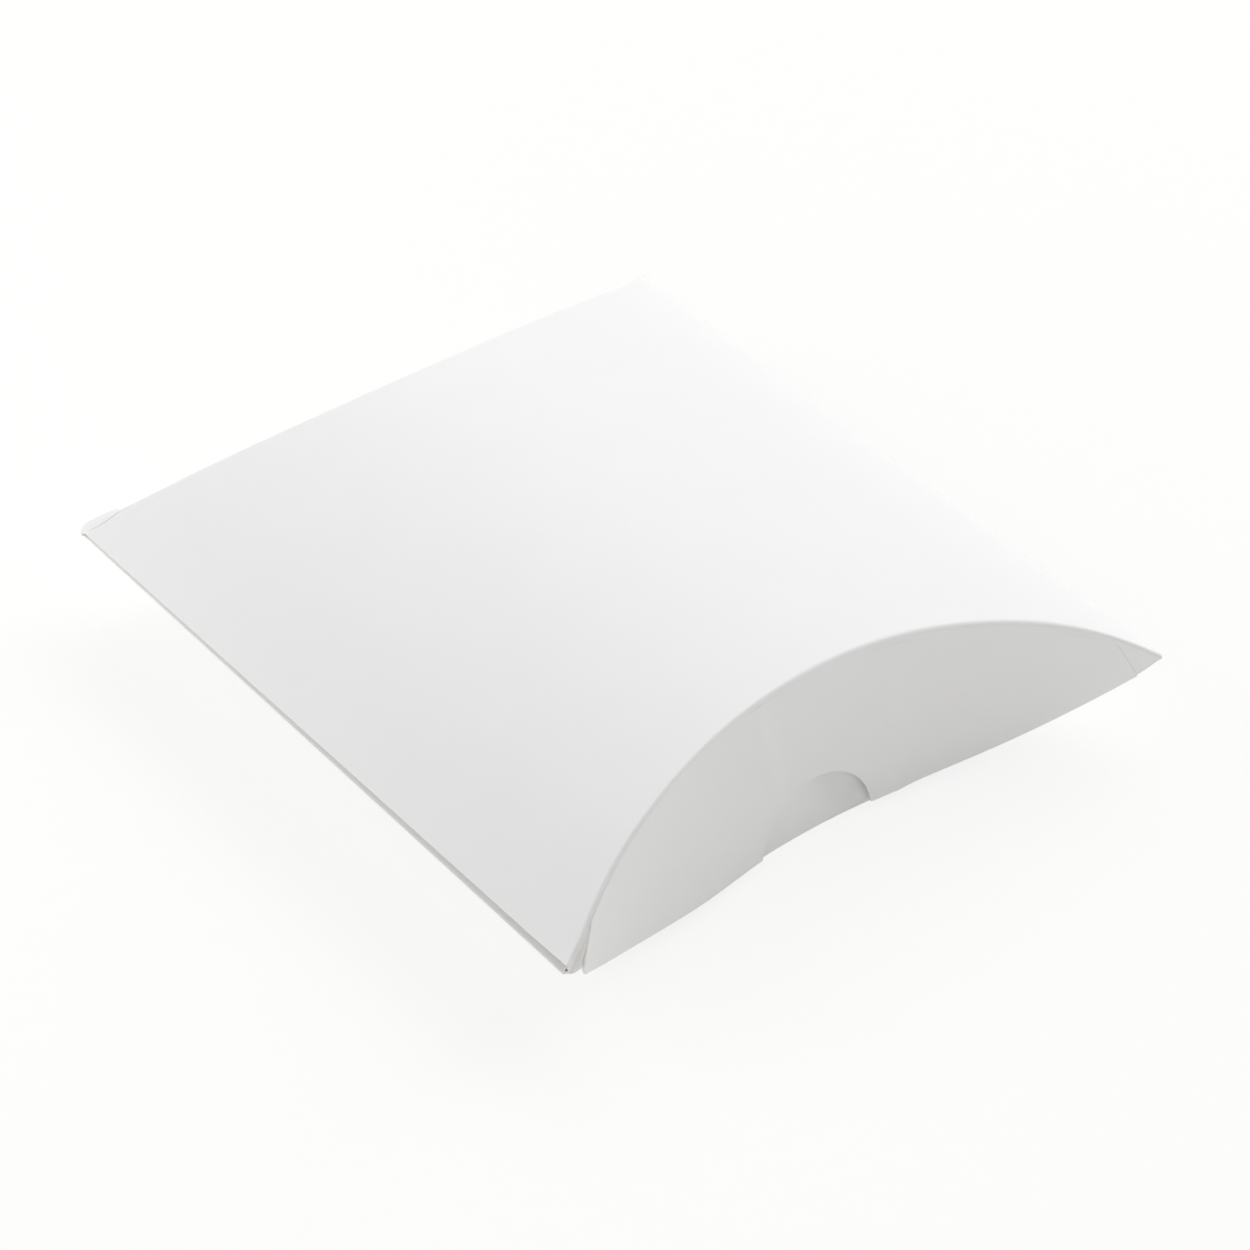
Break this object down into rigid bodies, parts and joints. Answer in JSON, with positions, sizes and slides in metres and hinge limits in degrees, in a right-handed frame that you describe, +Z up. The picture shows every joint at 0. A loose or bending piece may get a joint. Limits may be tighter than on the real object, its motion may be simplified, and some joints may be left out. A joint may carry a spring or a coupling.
{
  "type": "pillow box",
  "caption": "Pillow box of plain white paperboard: two bowed panels folded and glued into a sleeve, closed at each end by overlapping lens-shaped flaps with a thumb notch.",
  "frame": {"origin": "centre of the flat strip under the box, on the surface that it rests on", "axes": "+Z up; Y along the two straight side folds, with the front end at -Y; X from fold to fold, with the glued seam at -X"},
  "size_m": [0.11, 0.12, 0.029],
  "materials": {
    "paperboard": "smooth matt white coated board",
    "glue": "dried clear glue"
  },
  "bodies": {
    "sleeve": {"top_panel": "paperboard", "bottom_panel": "paperboard", "side_fold": "paperboard", "seam_fold": "paperboard", "glue_flap": "paperboard", "glue_line": "glue", "front_upper_crease": "paperboard", "front_lower_crease": "paperboard", "rear_upper_crease": "paperboard", "rear_lower_crease": "paperboard"},
    "front_outer": {"front_outer_flap": "paperboard"},
    "front_inner": {"front_inner_flap": "paperboard"},
    "rear_outer": {"rear_outer_flap": "paperboard"},
    "rear_inner": {"rear_inner_flap": "paperboard"}
  },
  "joints": [
    {"name": "front_outer_hinge", "type": "hinge", "parent": "sleeve", "child": "front_outer", "pos_m": [0, -0.04347, 0.029], "axis": [-1, 0, 0], "range_deg": [0, 120]},
    {"name": "front_inner_hinge", "type": "hinge", "parent": "sleeve", "child": "front_inner", "pos_m": [0, -0.04573, 0], "axis": [1, 0, 0], "range_deg": [0, 72]},
    {"name": "rear_outer_hinge", "type": "hinge", "parent": "sleeve", "child": "rear_outer", "pos_m": [0, 0.04347, 0.029], "axis": [1, 0, 0], "range_deg": [0, 120]},
    {"name": "rear_inner_hinge", "type": "hinge", "parent": "sleeve", "child": "rear_inner", "pos_m": [0, 0.04573, 0], "axis": [-1, 0, 0], "range_deg": [0, 72]}
  ],
  "couplings": [
    {"joint": "front_inner_hinge", "follows": "front_outer_hinge", "ratio": 0.6},
    {"joint": "rear_inner_hinge", "follows": "rear_outer_hinge", "ratio": 0.6}
  ]
}
